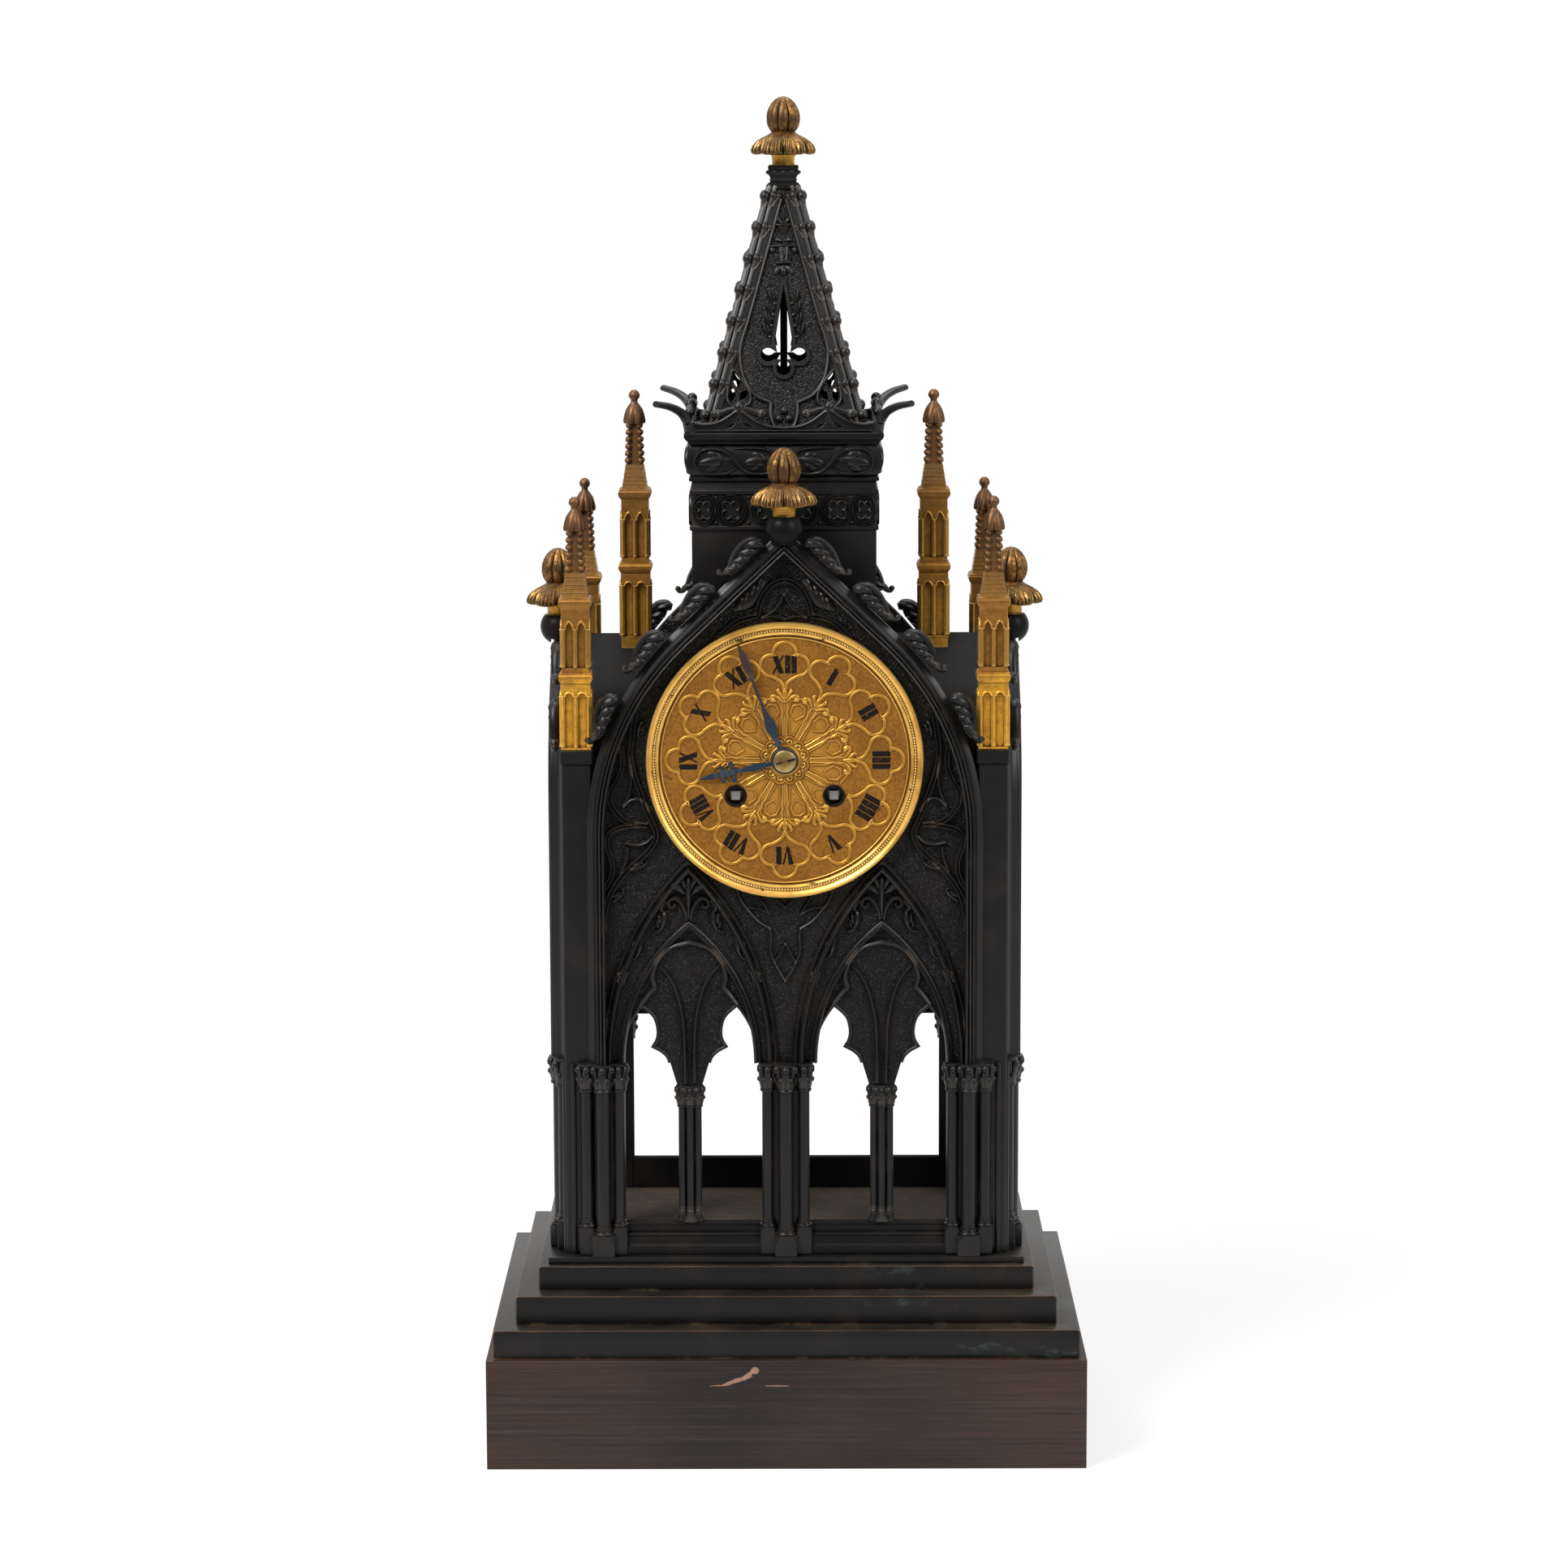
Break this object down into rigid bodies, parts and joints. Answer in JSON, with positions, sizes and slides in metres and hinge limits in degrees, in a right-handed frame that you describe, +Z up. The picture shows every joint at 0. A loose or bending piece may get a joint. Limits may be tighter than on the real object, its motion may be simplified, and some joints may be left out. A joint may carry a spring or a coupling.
{
  "type": "steeple clock",
  "caption": "Neo-Gothic steeple clock: stepped plinth, open arcade, gilt cartouche dial, crocketed gables, pinnacles and a pierced spire, with a striking pendulum movement.",
  "frame": {"origin": "centre of the plinth's underside", "axes": "+Z up along the spire, +X to the viewer's right, the dial faces -Y"},
  "size_m": [0.232, 0.1574, 0.5252],
  "materials": {
    "patinated_bronze": "dark brown-black patina, satin, worn bright on the edges",
    "plinth_bronze": "brown patina, horizontally brushed",
    "gilt_bronze": "matte gilt with darkened recesses",
    "dial_gilt": "matte gilt",
    "blued_steel": "heat-blued",
    "steel": "polished",
    "clock_brass": "polished brass",
    "bell_metal": "turned bell metal",
    "dark_wood": "plain sawn",
    "tan_board": "worn, unfinished"
  },
  "bodies": {
    "case": {"plinth": "plinth_bronze", "plinth_core": "dark_wood", "step_lower": "patinated_bronze", "step_middle": "patinated_bronze", "step_upper": "patinated_bronze", "sill_plate": "patinated_bronze", "floor_board": "tan_board", "case_bolts": "steel", "front_piers": "patinated_bronze", "rear_piers": "patinated_bronze", "front_columns": "patinated_bronze", "dado_rails": "patinated_bronze", "front_facade": "patinated_bronze", "rear_facade": "patinated_bronze", "side_facades": "patinated_bronze", "roof": "patinated_bronze", "tower": "patinated_bronze", "tower_entablature": "patinated_bronze", "crown_gallery": "patinated_bronze", "spire": "patinated_bronze", "spire_collar": "patinated_bronze", "spire_rod": "steel", "spire_finial": "gilt_bronze", "gable_finials": "gilt_bronze", "gable_balls": "patinated_bronze", "gable_crockets": "patinated_bronze", "pinnacles": "gilt_bronze", "bezel": "gilt_bronze", "dial": "dial_gilt", "front_plate": "clock_brass", "back_plate": "clock_brass", "plate_pillars": "clock_brass", "suspension_cock": "clock_brass", "bell": "bell_metal", "bell_stand": "steel", "movement_straps": "clock_brass", "rear_ring": "clock_brass"},
    "minute_hand_set": {"minute_hand": "blued_steel", "hand_nut": "steel", "cannon_pinion": "steel"},
    "hour_hand_set": {"hour_hand": "blued_steel", "hour_wheel": "clock_brass"},
    "minute_wheel_set": {"minute_wheel": "clock_brass"},
    "escape_set": {"escape_wheel": "clock_brass"},
    "third_set": {"third_wheel": "clock_brass"},
    "centre_set": {"centre_wheel": "clock_brass"},
    "intermediate_set": {"intermediate_wheel": "clock_brass"},
    "going_barrel_set": {"going_barrel": "clock_brass"},
    "pendulum": {"pendulum_rod": "steel", "pendulum_bob": "clock_brass"},
    "anchor_set": {"anchor": "steel"},
    "going_winder": {"going_arbor": "steel"},
    "strike_winder": {"strike_arbor": "steel"},
    "fly_set": {"fly": "clock_brass"},
    "pin_wheel_set": {"pin_wheel": "clock_brass"},
    "strike_second_set": {"strike_second_wheel": "clock_brass"},
    "strike_barrel_set": {"strike_barrel": "clock_brass"},
    "hammer_set": {"hammer": "steel"},
    "rear_door_leaf": {"rear_door": "clock_brass"}
  },
  "joints": [
    {"name": "minute_hand_turn", "type": "hinge", "parent": "case", "child": "minute_hand_set", "pos_m": [0, -0.0536, 0.2732], "axis": [0, 1, 0], "continuous": true},
    {"name": "hour_hand_turn", "type": "hinge", "parent": "case", "child": "hour_hand_set", "pos_m": [0, -0.0522, 0.2732], "axis": [0, 1, 0], "continuous": true},
    {"name": "minute_wheel_turn", "type": "hinge", "parent": "case", "child": "minute_wheel_set", "pos_m": [0, -0.044, 0.2852], "axis": [0, 1, 0], "continuous": true},
    {"name": "escape_wheel_turn", "type": "hinge", "parent": "case", "child": "escape_set", "pos_m": [0, -0.0274, 0.29682], "axis": [0, 1, 0], "continuous": true},
    {"name": "third_wheel_turn", "type": "hinge", "parent": "case", "child": "third_set", "pos_m": [-0.00467, -0.0194, 0.28603], "axis": [0, 1, 0], "continuous": true},
    {"name": "centre_wheel_turn", "type": "hinge", "parent": "case", "child": "centre_set", "pos_m": [0, -0.0094, 0.2732], "axis": [0, 1, 0], "continuous": true},
    {"name": "intermediate_wheel_turn", "type": "hinge", "parent": "case", "child": "intermediate_set", "pos_m": [0.01343, -0.0134, 0.27942], "axis": [0, 1, 0], "continuous": true},
    {"name": "going_barrel_turn", "type": "hinge", "parent": "case", "child": "going_barrel_set", "pos_m": [0.0189, -0.026, 0.2594], "axis": [0, 1, 0], "continuous": true},
    {"name": "pendulum_swing", "type": "hinge", "parent": "case", "child": "pendulum", "pos_m": [0, 0.0025, 0.30739], "axis": [0, 1, 0], "range_deg": [-3, 3]},
    {"name": "anchor_rock", "type": "hinge", "parent": "case", "child": "anchor_set", "pos_m": [0, -0.0274, 0.30739], "axis": [0, 1, 0], "range_deg": [-3, 3]},
    {"name": "going_winding", "type": "hinge", "parent": "case", "child": "going_winder", "pos_m": [0.0189, -0.045, 0.2594], "axis": [0, 1, 0], "range_deg": [0, 1440]},
    {"name": "strike_winding", "type": "hinge", "parent": "case", "child": "strike_winder", "pos_m": [-0.0189, -0.045, 0.2594], "axis": [0, 1, 0], "range_deg": [0, 1440]},
    {"name": "fly_turn", "type": "hinge", "parent": "case", "child": "fly_set", "pos_m": [-0.01575, -0.033, 0.29854], "axis": [0, 1, 0], "continuous": true},
    {"name": "pin_wheel_turn", "type": "hinge", "parent": "case", "child": "pin_wheel_set", "pos_m": [-0.02033, -0.0254, 0.29062], "axis": [0, 1, 0], "continuous": true},
    {"name": "strike_second_wheel_turn", "type": "hinge", "parent": "case", "child": "strike_second_set", "pos_m": [-0.0153, -0.0344, 0.27984], "axis": [0, 1, 0], "continuous": true},
    {"name": "strike_barrel_turn", "type": "hinge", "parent": "case", "child": "strike_barrel_set", "pos_m": [-0.0189, -0.02, 0.2594], "axis": [0, 1, 0], "continuous": true},
    {"name": "hammer_lift", "type": "hinge", "parent": "case", "child": "hammer_set", "pos_m": [-0.0375, -0.0025, 0.2722], "axis": [0, 1, 0], "range_deg": [0, 8], "stiffness_Nm_per_rad": 0.002, "springref_deg": -11.46},
    {"name": "rear_door_hinge", "type": "hinge", "parent": "case", "child": "rear_door_leaf", "pos_m": [0.0485, 0.05305, 0.2732], "axis": [0, 0, -1], "range_deg": [0, 110]}
  ],
  "couplings": [
    {"joint": "hour_hand_turn", "follows": "minute_hand_turn", "ratio": 0.083333},
    {"joint": "minute_wheel_turn", "follows": "minute_hand_turn", "ratio": -0.33333},
    {"joint": "third_wheel_turn", "follows": "escape_wheel_turn", "ratio": -0.090909},
    {"joint": "centre_wheel_turn", "follows": "escape_wheel_turn", "ratio": 0.0075758},
    {"joint": "intermediate_wheel_turn", "follows": "escape_wheel_turn", "ratio": -0.0011837},
    {"joint": "going_barrel_turn", "follows": "escape_wheel_turn", "ratio": 0.00016215},
    {"joint": "anchor_rock", "follows": "pendulum_swing", "ratio": 1},
    {"joint": "pin_wheel_turn", "follows": "fly_turn", "ratio": -0.12963},
    {"joint": "strike_second_wheel_turn", "follows": "fly_turn", "ratio": 0.017284},
    {"joint": "strike_barrel_turn", "follows": "fly_turn", "ratio": -0.0023677}
  ]
}
